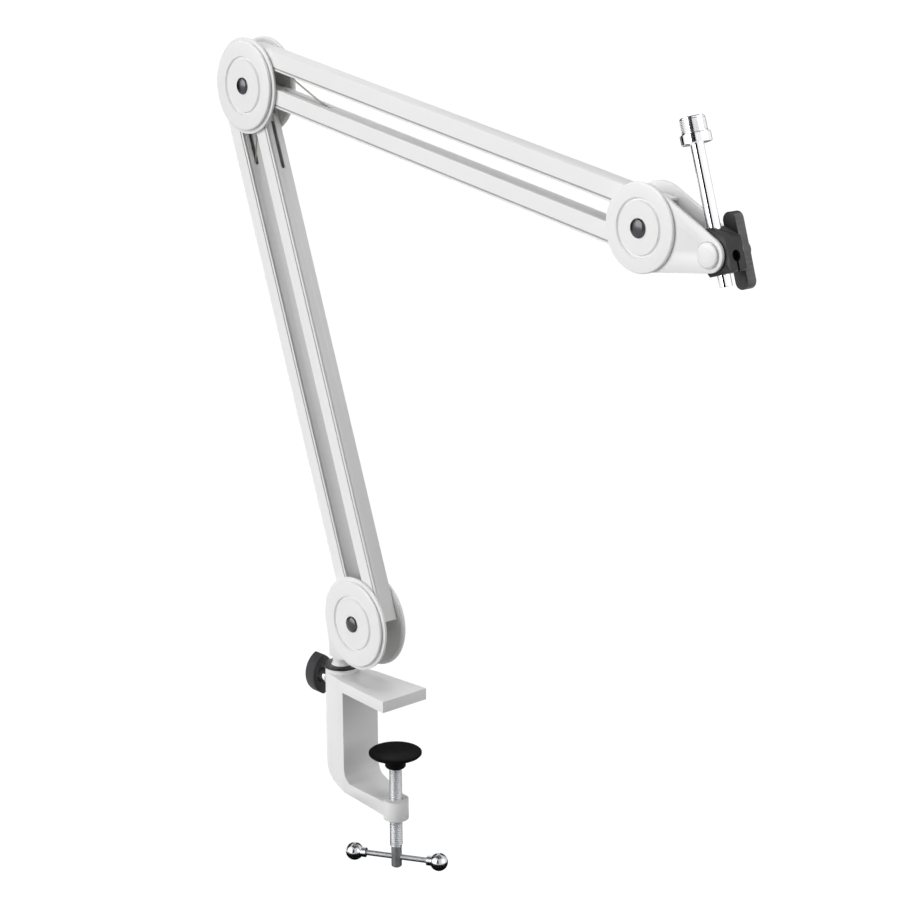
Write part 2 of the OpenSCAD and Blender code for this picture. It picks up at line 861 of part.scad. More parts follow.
module holder_screw() {
  color([0.2, 0.2, 0.2])
  holder_frame()
  difference() {
    translate([rod_d / 2 + play, 0, grub_z]) rotate([0, 90, 0]) cylinder(r = grub_r, h = 4.2);
    translate([rod_d / 2 + play + 2, 0, grub_z]) rotate([0, 90, 0]) cylinder(r = 1.6, h = 6, $fn = 6);
  }
}

// wing nut behind the head: hub, two round-ended wings and the pad under them
module holder_knob() {
  wing = wing_w / 2;
  color([0.16, 0.16, 0.16])
  holder_frame() difference() {
    union() {
      across(wing_hub_r, head_plate_out + 0.1, wing_y + wing_t + 0.4);
      across(7.5, head_plate_out + 0.1, wing_y);
      for (s = [-1, 1])
        translate([0, 0, s * (wing_span / 2 - wing)]) across(wing, wing_y, wing_y + wing_t);
      translate([-wing, wing_y, -wing_span / 2 + wing]) cube([wing_w, wing_t, wing_span - wing_w]);
    }
    across(axle_r, head_plate_out - 1, wing_y + wing_t - 1.5);
  }
}

module knob_stud() {
  color([0.7, 0.7, 0.72])
  holder_frame() across(axle_r, rod_d / 2 + play + 0.1, wing_y + wing_t - 1.6);
}

module mic_rod() {
  color([0.85, 0.85, 0.87])
  holder_frame() translate([0, 0, -rod_foot]) cylinder(d = rod_d, h = rod_len + rod_in_adapter);
}

module thread_adapter() {
  color([0.75, 0.75, 0.77])
  holder_frame() translate([0, 0, rod_len - rod_foot])
  difference() {
    union() {
      cylinder(d = collar_d, h = collar_h);
      translate([0, 0, collar_h - 0.1]) cylinder(d = thread_d, h = thread_len + 0.1);
    }
    translate([0, 0, -1]) cylinder(d = rod_d + 2 * play, h = rod_in_adapter + 1.05);
  }
}

clamp_frame();
swivel_washer();
swivel_knob();
swivel_stud();
clamp_screw();
clamp_pad();
t_bar_rod();
t_bar_balls();
base_spigot();
base_neck();
base_front_plate();
base_rear_plate();
base_liners();
base_front_cover();
base_rear_cover();
base_caps();
base_pins();
lower_right_channel();
lower_right_strip();
lower_right_ends();
lower_left_channel();
lower_left_strip();
lower_left_ends();
lower_spring();
lower_spring_pin();
lower_wire();
elbow_front_plate();
elbow_rear_plate();
elbow_liners();
elbow_front_cover();
elbow_rear_cover();
elbow_caps();
elbow_pins();
upper_low_channel();
upper_low_strip();
upper_low_ends();
upper_spring();
upper_spring_pin();
upper_top_channel();
upper_top_strip();
upper_top_ends();
upper_wire();
head_front_plate();
head_rear_plate();
head_front_cover();
head_rear_cover();
head_caps();
head_pins();
axle_screw();
axle_ring();
axle_cap();
holder_block();
holder_screw();
holder_knob();
knob_stud();
mic_rod();
thread_adapter();
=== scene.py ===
import json
import math

import bmesh
import bpy
from mathutils import Matrix, Quaternion, Vector

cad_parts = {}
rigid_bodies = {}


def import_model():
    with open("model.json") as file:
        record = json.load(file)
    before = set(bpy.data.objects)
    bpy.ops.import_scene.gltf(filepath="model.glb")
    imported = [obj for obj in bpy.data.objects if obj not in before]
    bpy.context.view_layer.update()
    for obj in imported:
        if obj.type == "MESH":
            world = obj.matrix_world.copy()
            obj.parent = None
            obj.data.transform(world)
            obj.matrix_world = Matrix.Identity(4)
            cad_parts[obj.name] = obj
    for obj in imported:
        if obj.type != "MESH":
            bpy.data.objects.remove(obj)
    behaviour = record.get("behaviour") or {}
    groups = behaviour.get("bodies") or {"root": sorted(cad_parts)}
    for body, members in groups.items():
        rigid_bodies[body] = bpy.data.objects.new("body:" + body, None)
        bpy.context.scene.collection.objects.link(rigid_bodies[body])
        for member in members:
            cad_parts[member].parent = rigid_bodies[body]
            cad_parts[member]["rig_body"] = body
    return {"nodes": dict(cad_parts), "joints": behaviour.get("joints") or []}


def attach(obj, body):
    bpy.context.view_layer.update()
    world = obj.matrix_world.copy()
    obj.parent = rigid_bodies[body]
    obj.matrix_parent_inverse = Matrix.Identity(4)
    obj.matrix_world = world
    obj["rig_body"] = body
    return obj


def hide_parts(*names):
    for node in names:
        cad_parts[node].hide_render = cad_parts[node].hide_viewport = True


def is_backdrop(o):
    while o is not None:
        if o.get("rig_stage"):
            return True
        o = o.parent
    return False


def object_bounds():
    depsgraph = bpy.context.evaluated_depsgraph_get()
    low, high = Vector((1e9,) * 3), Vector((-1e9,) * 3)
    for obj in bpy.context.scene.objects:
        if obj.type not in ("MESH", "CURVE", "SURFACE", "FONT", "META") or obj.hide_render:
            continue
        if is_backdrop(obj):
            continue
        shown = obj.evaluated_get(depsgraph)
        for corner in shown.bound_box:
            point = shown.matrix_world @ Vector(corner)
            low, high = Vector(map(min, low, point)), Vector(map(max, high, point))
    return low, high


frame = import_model()
cadLow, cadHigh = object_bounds()
nodes = frame["nodes"]
joints = {j["name"]: j for j in frame["joints"]}
scene = bpy.context.scene
print("frame loaded:", len(nodes), "solids")

mm = 0.001
# edges sharper than this many degrees are creases; the threads have their own limit
crease = 32
threadCrease = 30
rodAxis = Vector(joints["rod_slide"]["axis"]).normalized()
axlePoint = Vector(joints["mic_tilt"]["pos_m"])


def linear(hexColour):
    # sRGB hex to the linear colour that a socket takes
    parts = [int(hexColour[i:i + 2], 16) / 255 for i in (1, 3, 5)]
    return tuple(p / 12.92 if p <= 0.04045 else ((p + 0.055) / 1.055) ** 2.4 for p in parts) + (1.0,)


def addNode(tree, kind, links=None, **settings):
    # links: socket name or number -> a value, or another node's output
    made = tree.nodes.new(kind)
    for key, value in settings.items():
        setattr(made, key, value)
    for key, value in (links or {}).items():
        if isinstance(value, bpy.types.NodeSocket):
            tree.links.new(value, made.inputs[key])
        else:
            made.inputs[key].default_value = value
    made.location = (220 * (len(tree.nodes) % 6), -200 * (len(tree.nodes) // 6))
    return made


# Finishes. grain and cloud are real sizes in mm; depth is the height of the grain in mm. rib is the distance
# between moulded ribs and ribDepth their height. sheen is the specular level and coat the lacquer, where they differ.
finishes = {
    # powder coat on steel tube and cast iron: satin white with a soft orange peel that only shows in highlights
    "powderCoatWhite": dict(colour="#EEEEEE", shade="#E8E8E8", metallic=0.0, ior=1.5, rough=(0.33, 0.37),
                            grain=1.3, depth=0.005, cloud=45, sheen=0.36),
    # injection moulded ABS covers and strips: a little whiter than the paint, fine spark texture
    "mouldedAbsWhite": dict(colour="#F2F2F2", shade="#EDEDED", metallic=0.0, ior=1.53, rough=(0.32, 0.37),
                            grain=0.7, depth=0.003, cloud=60, sheen=0.36),
    # painted shade in the seams of the strips: a grey that darkens the groove where its shadow falls
    "seamPaintedShade": dict(colour="#B0B0B0", shade="#A8A8A8", metallic=0.0, ior=1.49, rough=(0.5, 0.6),
                     grain=0.6, depth=0.010, cloud=14),
    # turned acetal liners and bar ends: waxy off-white, nearly matt
    "acetalWhite": dict(colour="#E4E4E2", shade="#DCDCDA", metallic=0.0, ior=1.48, rough=(0.5, 0.62),
                        grain=0.6, depth=0.010, cloud=20),
    # glass filled nylon knobs: black with a fine moulded grain that lifts the highlights to grey
    "nylonBlack": dict(colour="#1E1E1F", shade="#171718", metallic=0.0, ior=1.53, rough=(0.36, 0.5),
                       grain=0.8, depth=0.020, cloud=12),
    # fine moulded ribs on the grip edges of both knobs: a grey that paints the lit look of these faces, with ribs
    # running along the stud
    "nylonRibbedPaintedLight": dict(colour="#5E5E60", shade="#4C4C4E", metallic=0.0, ior=1.53, rough=(0.5, 0.62),
                        grain=0.8, depth=0.020, cloud=9, rib=0.9, ribDepth=0.18),
    # the thumb knob's grip: the same ribs, with a darker grey of painted light
    "nylonRibbedDimPaintedLight": dict(colour="#3A3A3C", shade="#2E2E30", metallic=0.0, ior=1.53, rough=(0.46, 0.58),
                            grain=0.8, depth=0.020, cloud=9, rib=0.9, ribDepth=0.18, sheen=0.3),
    # smooth nylon thrust washer: black with a gloss
    "nylonGlossBlack": dict(colour="#121212", shade="#0E0E0E", metallic=0.0, ior=1.53, rough=(0.16, 0.24),
                            grain=1.2, depth=0.004, cloud=12, sheen=0.35),
    # die cast holder block with black paint: deeper and smoother than the knobs
    "castBlackPaint": dict(colour="#1F1F20", shade="#19191A", metallic=0.0, ior=1.5, rough=(0.3, 0.42),
                           grain=1.0, depth=0.015, cloud=10, coat=0.03, sheen=0.25),
    # black nickel on the domed screws: dark mirror with a soft highlight
    "blackNickel": dict(colour="#525255", shade="#4A4A4D", metallic=1.0, rough=(0.24, 0.3),
                        grain=0.5, depth=0.002, cloud=8),
    # polished chrome plate: mirror with hardly any bump
    "chromePlate": dict(colour="#F8F8FA", shade="#F4F4F7", metallic=1.0, rough=(0.05, 0.09),
                        grain=3.0, depth=0.001, cloud=25),
    # nickel plated brass adapter: a touch warmer and softer than chrome
    "nickelPlate": dict(colour="#F5F5F7", shade="#EEEEF1", metallic=1.0, rough=(0.12, 0.18),
                        grain=1.5, depth=0.002, cloud=14),
    # zinc plated clamp screw: pale grey, slightly cloudy metal
    "zincPlate": dict(colour="#D2D3D5", shade="#BEBFC2", metallic=1.0, rough=(0.38, 0.48),
                      grain=0.9, depth=0.006, cloud=5),
    # polished steel balls of the cross bar: soft mirror
    "polishedSteel": dict(colour="#D0D1D3", shade="#C2C3C6", metallic=1.0, rough=(0.17, 0.23),
                          grain=0.8, depth=0.003, cloud=7),
    # cold drawn steel of the cross bar and of the screw's plain end: mid grey, satin
    "drawnSteel": dict(colour="#A9AAAD", shade="#9C9DA0", metallic=1.0, rough=(0.42, 0.52),
                       grain=0.6, depth=0.005, cloud=6),
    # turned steel pins, spigot and axle: grey with fine tool marks
    "turnedSteel": dict(colour="#B4B5B8", shade="#A3A4A8", metallic=1.0, rough=(0.26, 0.38),
                        grain=0.6, depth=0.008, cloud=6),
    # drawn spring steel: darker, a little oily
    "springSteel": dict(colour="#9A958C", shade="#837E76", metallic=1.0, rough=(0.28, 0.4),
                        grain=0.7, depth=0.006, cloud=4),
    # dipped pad: nearly black vinyl with a soft sheen
    "dippedVinylBlack": dict(colour="#070707", shade="#050505", metallic=0.0, ior=1.5, rough=(0.55, 0.66),
                             grain=1.4, depth=0.015, cloud=14, sheen=0.06),
}


def makeFinish(name, s):
    made = bpy.data.materials.new(name)
    made.use_nodes = True
    tree = made.node_tree
    tree.nodes.clear()
    where = addNode(tree, "ShaderNodeTexCoord").outputs["Object"]
    cloud = addNode(tree, "ShaderNodeTexNoise", {"Vector": where, "Scale": 1000 / s["cloud"], "Detail": 3.0,
                                                 "Roughness": 0.55})
    grain = addNode(tree, "ShaderNodeTexNoise", {"Vector": where, "Scale": 1000 / s["grain"], "Detail": 2.0,
                                                 "Roughness": 0.6})
    colour = addNode(tree, "ShaderNodeMix", {0: cloud.outputs["Fac"], 6: linear(s["colour"]), 7: linear(s["shade"])},
                     data_type="RGBA")
    rough = addNode(tree, "ShaderNodeMapRange", {"Value": cloud.outputs["Fac"], "From Min": 0.3, "From Max": 0.7,
                                                 "To Min": s["rough"][0], "To Max": s["rough"][1]})
    bump = addNode(tree, "ShaderNodeBump", {"Height": grain.outputs["Fac"], "Strength": 1.0,
                                            "Distance": s["depth"] * mm})
    if "rib" in s:
        # one wave every rib mm along X
        ribs = addNode(tree, "ShaderNodeTexWave", {"Vector": where, "Scale": 1000 / s["rib"] / 20 * 2 * math.pi},
                       wave_type="BANDS", bands_direction="X")
        bump = addNode(tree, "ShaderNodeBump", {"Height": ribs.outputs["Fac"], "Strength": 1.0,
                                                "Distance": s["ribDepth"] * mm, "Normal": bump.outputs[0]})
    shader = addNode(tree, "ShaderNodeBsdfPrincipled", {
        "Base Color": colour.outputs[2], "Roughness": rough.outputs[0], "Normal": bump.outputs[0],
        "Metallic": s["metallic"], "Coat Weight": s.get("coat", 0.0), "Coat Roughness": 0.2})
    if s["metallic"] < 0.5:
        shader.inputs["IOR"].default_value = s["ior"]
        shader.inputs["Specular IOR Level"].default_value = s.get("sheen", 0.5)
    addNode(tree, "ShaderNodeOutputMaterial", {"Surface": shader.outputs[0]})
    return made


materials = {name: makeFinish(name, s) for name, s in finishes.items()}
print("finishes made:", len(materials))


def newObject(name, mesh, finish, body, stands=()):
    made = bpy.data.objects.new(name, mesh)
    scene.collection.objects.link(made)
    mesh.materials.clear()
    mesh.materials.append(materials[finish])
    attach(made, body)
    for node in stands:
        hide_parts(node)
    return made


def smoothBy(mesh, degrees):
    mesh.shade_smooth()
    mesh.set_sharp_from_angle(angle=math.radians(degrees))


# Solids that keep their CAD mesh and take a finish
plainFinish = {
    "acetalWhite": ["base_liners", "elbow_liners", "lower_right_ends", "lower_left_ends", "upper_low_ends",
                    "upper_top_ends"],
    "mouldedAbsWhite": ["axle_cap"],
    "chromePlate": ["mic_rod", "swivel_stud"],
    "polishedSteel": ["t_bar_balls"],
    "drawnSteel": ["t_bar_rod"],
    "turnedSteel": ["base_spigot", "base_pins", "elbow_pins", "head_pins", "axle_screw", "axle_ring",
                    "knob_stud", "lower_spring_pin", "upper_spring_pin"],
    "springSteel": ["lower_wire", "upper_wire", "lower_spring", "upper_spring"],
    "dippedVinylBlack": ["clamp_pad"],
    "castBlackPaint": ["holder_screw"],
}
for finish, names in plainFinish.items():
    for name in names:
        nodes[name].data.materials.clear()
        nodes[name].data.materials.append(materials[finish])

# Solids whose edges are rounded: a merged copy stands for the CAD solid. edge is the rounding in mm. The first
# three rows hold what several pieces share.
paintedSteel = dict(finish="powderCoatWhite", slot="white_paint", steps=2)
snapStrip = dict(finish="mouldedAbsWhite", slot="white_plastic", steps=2)
nylonKnob = dict(finish="nylonBlack", slot="black_plastic", steps=3)
rounded = {
    "clampFrame": dict(paintedSteel, node="clamp_frame", edge=1.4, steps=3),
    "neck": dict(paintedSteel, node="base_neck", edge=0.5),
    "baseFrontPlate": dict(paintedSteel, node="base_front_plate", edge=0.35),
    "baseRearPlate": dict(paintedSteel, node="base_rear_plate", edge=0.35),
    "elbowFrontPlate": dict(paintedSteel, node="elbow_front_plate", edge=0.35),
    "elbowRearPlate": dict(paintedSteel, node="elbow_rear_plate", edge=0.35),
    "headFrontPlate": dict(paintedSteel, node="head_front_plate", edge=0.4),
    "headRearPlate": dict(paintedSteel, node="head_rear_plate", edge=0.4),
    "lowerRightChannel": dict(paintedSteel, node="lower_right_channel", edge=0.6),
    "lowerLeftChannel": dict(paintedSteel, node="lower_left_channel", edge=0.6),
    "upperLowChannel": dict(paintedSteel, node="upper_low_channel", edge=0.6),
    "upperTopChannel": dict(paintedSteel, node="upper_top_channel", edge=0.6),
    "lowerRightStrip": dict(snapStrip, node="lower_right_strip", edge=0.2),
    "lowerLeftStrip": dict(snapStrip, node="lower_left_strip", edge=0.2),
    "upperLowStrip": dict(snapStrip, node="upper_low_strip", edge=0.2),
    "upperTopStrip": dict(snapStrip, node="upper_top_strip", edge=0.2),
    "swivelWasher": dict(nylonKnob, node="swivel_washer", finish="nylonGlossBlack", edge=0.4),
    "thumbKnob": dict(nylonKnob, node="swivel_knob", edge=1.2),
    "holderBlock": dict(node="holder_block", finish="castBlackPaint", slot="black_metal", edge=0.4, steps=2),
    "wingNut": dict(nylonKnob, node="holder_knob", edge=1.1),
}

# Strips: a narrow seam near the lower long edge, its floor and slopes grey as painted shade, leaves a bright lip
# outside it. Sizes are in mm. Each strip is listed with the joints at its two ends.
seamForm = dict(lip=1.25, wide=1.15, slope=0.3, deep=0.36)
strips = {"lowerRightStrip": ("lower_arm", "elbow_level"), "lowerLeftStrip": ("lower_arm", "elbow_level"),
          "upperLowStrip": ("upper_arm", "head_level"), "upperTopStrip": ("upper_arm", "head_level")}


def seamMeasure(name, points):
    # direction across the bar, its middle and half width, and the strip's front
    start, end = strips[name]
    run = (Vector(joints[end]["pos_m"]) - Vector(joints[start]["pos_m"])).normalized()
    across = run.cross(Vector((0, 1, 0)))
    spots = [p.dot(across) for p in points]
    return across, (max(spots) + min(spots)) / 2, (max(spots) - min(spots)) / 2, min(p.y for p in points)


def cutSeams(work, name):
    across, middle, half, front = seamMeasure(name, [v.co for v in work.verts])
    f = seamForm
    near, far = f["lip"], f["lip"] + f["wide"]
    for inset in (near, near + f["slope"], far - f["slope"], far):
        everything = work.verts[:] + work.edges[:] + work.faces[:]
        bmesh.ops.bisect_plane(work, geom=everything, plane_co=across * (middle - half + inset * mm),
                               plane_no=across, dist=1e-7)

    def inSeam(v, spare):
        inset = (half + v.co.dot(across) - middle) / mm
        deep = (v.co.y - front) / mm
        return near + spare < inset < far - spare and deep < f["deep"] + 0.02

    for v in work.verts:
        if inSeam(v, f["slope"] / 2) and v.co.y < front + 0.02 * mm:
            v.co.y += f["deep"] * mm
    weight = work.edges.layers.float.new("bevel_weight_edge")
    for edge in work.edges:
        seam = all(inSeam(v, -0.02) for v in edge.verts)
        edge.smooth = not seam
        edge[weight] = 0.0 if seam or edge.calc_face_angle(0) < math.radians(crease) else 1.0


# The holder block's lower back corner is cut away, so that it stays behind the bracket. Corners before and after,
# in mm across and along the rod from the tilt axle.
footCorners = [((-7.5, -10.5), (-7.5, -6.6)), ((-5.5, -12.5), (-4.5, -12.5))]


def trimFoot(work):
    forward = Vector((0, 1, 0)).cross(rodAxis)
    for v in work.verts:
        here = (v.co - axlePoint) / mm
        for old, new in footCorners:
            if abs(here.dot(forward) - old[0]) < 0.05 and abs(here.dot(rodAxis) - old[1]) < 0.05:
                v.co += (forward * (new[0] - old[0]) + rodAxis * (new[1] - old[1])) * mm


def roundedCopy(name, s):
    source = nodes[s["node"]]
    mesh = source.data.copy()
    work = bmesh.new()
    work.from_mesh(mesh)
    bmesh.ops.remove_doubles(work, verts=work.verts, dist=1e-6)
    bmesh.ops.dissolve_limit(work, angle_limit=math.radians(0.4), verts=work.verts, edges=work.edges)
    for face in work.faces:
        face.smooth = True
    if name in strips:
        cutSeams(work, name)
    if name == "holderBlock":
        trimFoot(work)
    work.to_mesh(mesh)
    work.free()
    mesh.name = name
    mesh.materials.clear()
    made = bpy.data.objects.new(name, mesh)
    scene.collection.objects.link(made)
    bevel = made.modifiers.new("edge", "BEVEL")
    bevel.width = s["edge"] * mm
    bevel.segments = s["steps"]
    bevel.limit_method = "WEIGHT" if name in strips else "ANGLE"
    bevel.angle_limit = math.radians(crease)
    bevel.harden_normals = True
    bpy.context.view_layer.update()
    final = bpy.data.meshes.new_from_object(made.evaluated_get(bpy.context.evaluated_depsgraph_get()))
    bpy.data.objects.remove(made)
    return newObject(name, final, s["finish"], source["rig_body"], [s["node"]])


for name, s in rounded.items():
    roundedCopy(name, s)
print("rounded copies:", len(rounded))

# Floor and slopes of the seams are grey as painted shade, and the wide faces keep their own normal up to the edge of
# the seam
wideFace = 100 * mm * mm
for name in strips:
    mesh = bpy.data.objects[name].data
    mesh.materials.append(materials["seamPaintedShade"])
    across, middle, half, front = seamMeasure(name, [v.co for v in mesh.vertices])
    for face in mesh.polygons:
        inset = (half + face.center.dot(across) - middle) / mm
        deep = (face.center.y - front) / mm
        if (seamForm["lip"] < inset < seamForm["lip"] + seamForm["wide"] and face.normal.y < -0.1
                and 0.1 < deep < seamForm["deep"] + 0.1):
            face.material_index = 1
    normals = [Vector(n.vector) for n in mesh.corner_normals]
    for face in mesh.polygons:
        if face.area > wideFace:
            for corner in face.loop_indices:
                normals[corner] = face.normal.copy()
    mesh.normals_split_custom_set(normals)

# Grip faces of the knobs carry the ribbed finish, whose grey is painted light: those that look along a direction at
# least, or at most, so much
grips = [
    dict(name="wingNut", finish="nylonRibbedPaintedLight", along=rodAxis.cross(Vector((0, 1, 0))), least=0.8),
    dict(name="thumbKnob", finish="nylonRibbedDimPaintedLight", along=Vector((1, 0, 0)), most=0.3),
]
for g in grips:
    mesh = bpy.data.objects[g["name"]].data
    mesh.materials.append(materials[g["finish"]])
    for face in mesh.polygons:
        facing = abs(face.normal.dot(g["along"]))
        if facing >= g.get("least", -1) and facing <= g.get("most", 2):
            face.material_index = 1


def lathe(points, turns=64):
    # closed outline of (radius, height) in mm, turned about Z; the outline runs so that faces point outwards
    work = bmesh.new()
    loop = [work.verts.new((r * mm, 0, z * mm)) for r, z in points]
    edges = [work.edges.new((loop[i], loop[i + 1])) for i in range(len(loop) - 1)]
    if points[0][0] > 0 and points[-1][0] > 0:
        edges.append(work.edges.new((loop[-1], loop[0])))
    bmesh.ops.spin(work, geom=loop + edges, axis=(0, 0, 1), cent=(0, 0, 0), steps=turns, angle=2 * math.pi,
                   use_merge=True, use_normal_flip=False)
    bmesh.ops.remove_doubles(work, verts=work.verts, dist=1e-6)
    bmesh.ops.recalc_face_normals(work, faces=work.faces)
    mesh = bpy.data.meshes.new("turned")
    work.to_mesh(mesh)
    work.free()
    smoothBy(mesh, crease)
    return mesh


def joinMeshes(name, meshes):
    work = bmesh.new()
    for mesh in meshes:
        work.from_mesh(mesh)
    made = bpy.data.meshes.new(name)
    work.to_mesh(made)
    work.free()
    smoothBy(made, crease)
    return made


# Covers: a turned cap with a rounded rim and a ring groove. share is the groove's radius over the rim's.
coverForm = dict(share=0.627, floor=0.5, lip=1.2, deep=1.5, step=1.2, thick=2.5, bore=2.5)


def coverOutline(r):
    c = coverForm
    t, ring = c["thick"], r * c["share"]
    rim = [(r, 0.8), (r, 1.45), (r - 0.06, 1.75), (r - 0.22, 2.05), (r - 0.48, 2.3), (r - 0.8, 2.44), (r - 1.2, t)]
    groove = [(c["lip"], t), (c["lip"] - 0.15, t - 0.12), (c["floor"] + 0.15, t - 1.0), (c["floor"], t - c["deep"])]
    return ([(c["bore"], 0), (r - c["step"], 0), (r - c["step"], 0.7), (r - 0.1, 0.7)] + rim
            + [(ring + x, z) for x, z in groove] + [(ring - x, z) for x, z in reversed(groove)] + [(c["bore"], t)])


# Domed screws: a low dome over a short straight edge
capForm = dict(radius=6.0, edge=0.4, rise=2.4, steps=9)


def capOutline():
    c = capForm
    arc = [(c["radius"] * math.cos(k / c["steps"] * math.pi / 2),
            c["edge"] + (c["rise"] - c["edge"]) * math.sin(k / c["steps"] * math.pi / 2)) for k in range(c["steps"])]
    return [(0, 0), (c["radius"], 0)] + arc + [(0, c["rise"])]


def nodeBox(name):
    spots = [nodes[name].matrix_world @ Vector(c) for c in nodes[name].bound_box]
    return ([min(p[i] for p in spots) / mm for i in range(3)], [max(p[i] for p in spots) / mm for i in range(3)])


def layAcross(mesh, x, y, z, side):
    # the outline's height runs towards -Y on the front (side -1) and towards +Y on the back (side 1)
    mesh.transform(Matrix.Translation((x * mm, y * mm, z * mm)) @ Matrix.Rotation(-side * math.pi / 2, 4, "X"))
    return mesh


for place in ("base", "elbow", "head"):
    for end, side in (("front", -1), ("rear", 1)):
        node = place + "_" + end + "_cover"
        low, high = nodeBox(node)
        radius = (high[0] - low[0]) / 2
        foot = high[1] if side < 0 else low[1]
        mesh = layAcross(lathe(coverOutline(radius), 96), low[0] + radius, foot, (low[2] + high[2]) / 2, side)
        newObject(place + end.title() + "Cover", mesh, "mouldedAbsWhite", nodes[node]["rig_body"],
                  [node])
    node = place + "_caps"
    low, high = nodeBox(node)
    spot = ((low[0] + high[0]) / 2, (low[2] + high[2]) / 2)
    domes = [layAcross(lathe(capOutline(), 48), spot[0], y, spot[1], side)
             for y, side in ((low[1] + capForm["rise"], -1), (high[1] - capForm["rise"], 1))]
    newObject(place + "Caps", joinMeshes(place + "Caps", domes), "blackNickel", nodes[node]["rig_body"],
              [node])
print("covers and caps made")


# Thread: a pointed ridge swept along a spiral round a core. The Geometry Nodes tree is shared by both screws.
def makeThreadTree():
    tree = bpy.data.node_groups.new("threadOnCore", "GeometryNodeTree")
    face = tree.interface
    face.new_socket("Geometry", in_out="OUTPUT", socket_type="NodeSocketGeometry")
    for name, value in (("Outer Radius", 0.005), ("Pitch", 0.0015), ("Length", 0.05)):
        face.new_socket(name, in_out="INPUT", socket_type="NodeSocketFloat").default_value = value
    face.new_socket("Material", in_out="INPUT", socket_type="NodeSocketMaterial")
    given = addNode(tree, "NodeGroupInput").outputs
    ridge = addNode(tree, "ShaderNodeMath", {0: given["Pitch"], 1: 0.5}, operation="MULTIPLY").outputs[0]
    root = addNode(tree, "ShaderNodeMath", {0: given["Outer Radius"], 1: ridge}, operation="SUBTRACT").outputs[0]
    span = addNode(tree, "ShaderNodeMath", {0: given["Length"], 1: given["Pitch"]}, operation="SUBTRACT").outputs[0]
    turns = addNode(tree, "ShaderNodeMath", {0: span, 1: given["Pitch"]}, operation="DIVIDE").outputs[0]
    spiral = addNode(tree, "GeometryNodeCurveSpiral", {"Resolution": 28, "Rotations": turns, "Start Radius": root,
                                                       "End Radius": root, "Height": span}).outputs[0]
    upright = addNode(tree, "GeometryNodeSetCurveNormal", {"Curve": spiral}, mode="Z_UP").outputs[0]
    outline = addNode(tree, "GeometryNodeCurvePrimitiveCircle", {"Resolution": 4, "Radius": ridge}).outputs[0]
    swept = addNode(tree, "GeometryNodeCurveToMesh", {"Curve": upright, "Profile Curve": outline,
                                                      "Fill Caps": True}).outputs[0]
    half = addNode(tree, "ShaderNodeMath", {0: given["Length"], 1: 0.5}, operation="MULTIPLY").outputs[0]
    lift = addNode(tree, "ShaderNodeCombineXYZ", {"Z": ridge}).outputs[0]
    middle = addNode(tree, "ShaderNodeCombineXYZ", {"Z": half}).outputs[0]
    raised = addNode(tree, "GeometryNodeTransform", {"Geometry": swept, "Translation": lift}).outputs[0]
    coreRadius = addNode(tree, "ShaderNodeMath", {0: ridge, 1: 0.12, 2: root}, operation="MULTIPLY_ADD").outputs[0]
    core = addNode(tree, "GeometryNodeMeshCylinder", {"Vertices": 56, "Radius": coreRadius, "Depth": given["Length"]},
                   fill_type="NGON").outputs[0]
    coreUp = addNode(tree, "GeometryNodeTransform", {"Geometry": core, "Translation": middle}).outputs[0]
    joined = addNode(tree, "GeometryNodeJoinGeometry")
    tree.links.new(raised, joined.inputs[0])
    tree.links.new(coreUp, joined.inputs[0])
    real = addNode(tree, "GeometryNodeRealizeInstances", {"Geometry": joined.outputs[0]}).outputs[0]
    painted = addNode(tree, "GeometryNodeSetMaterial", {"Geometry": real, "Material": given["Material"]}).outputs[0]
    addNode(tree, "NodeGroupOutput", {"Geometry": painted})
    return tree


threadTree = makeThreadTree()


def threadMesh(outer, pitch, length, finish, bottom):
    holder = bpy.data.objects.new("threadHolder", bpy.data.meshes.new("threadHolder"))
    scene.collection.objects.link(holder)
    added = holder.modifiers.new("thread", "NODES")
    added.node_group = threadTree
    values = {"Outer Radius": outer * mm, "Pitch": pitch * mm, "Length": length * mm, "Material": materials[finish]}
    for item in threadTree.interface.items_tree:
        if item.in_out == "INPUT":
            added[item.identifier] = values[item.name]
    bpy.context.view_layer.update()
    mesh = bpy.data.meshes.new_from_object(holder.evaluated_get(bpy.context.evaluated_depsgraph_get()))
    bpy.data.objects.remove(holder)
    mesh.transform(Matrix.Translation((0, 0, bottom * mm)))
    smoothBy(mesh, threadCrease)
    return mesh


# Clamp screw: 3/8 inch with 16 threads to the inch, a plain end with the cross bar through it
screw = dict(outer=4.75, pitch=1.5875, threadBottom=-112.7, threadTop=-47.2, endBottom=-128.5, endRadius=3.85,
             chamfer=0.7, neckRadius=2.2, neckTop=-42.0)
screwMesh = joinMeshes("clampScrew", [
    threadMesh(screw["outer"], screw["pitch"], screw["threadTop"] - screw["threadBottom"], "zincPlate",
               screw["threadBottom"]),
    lathe([(0, screw["endBottom"]), (screw["endRadius"] - screw["chamfer"], screw["endBottom"]),
           (screw["endRadius"], screw["endBottom"] + screw["chamfer"]),
           (screw["endRadius"], screw["threadBottom"] + 0.3), (0, screw["threadBottom"] + 0.3)]),
    lathe([(0, screw["threadTop"] - 0.1), (screw["neckRadius"], screw["threadTop"] - 0.1),
           (screw["neckRadius"], screw["neckTop"]), (0, screw["neckTop"])]),
])
newObject("clampScrew", screwMesh, "zincPlate", "screw", ["clamp_screw"])
screwMesh.materials.append(materials["drawnSteel"])
for face in screwMesh.polygons:
    if face.center.z < screw["threadBottom"] * mm:
        face.material_index = 1

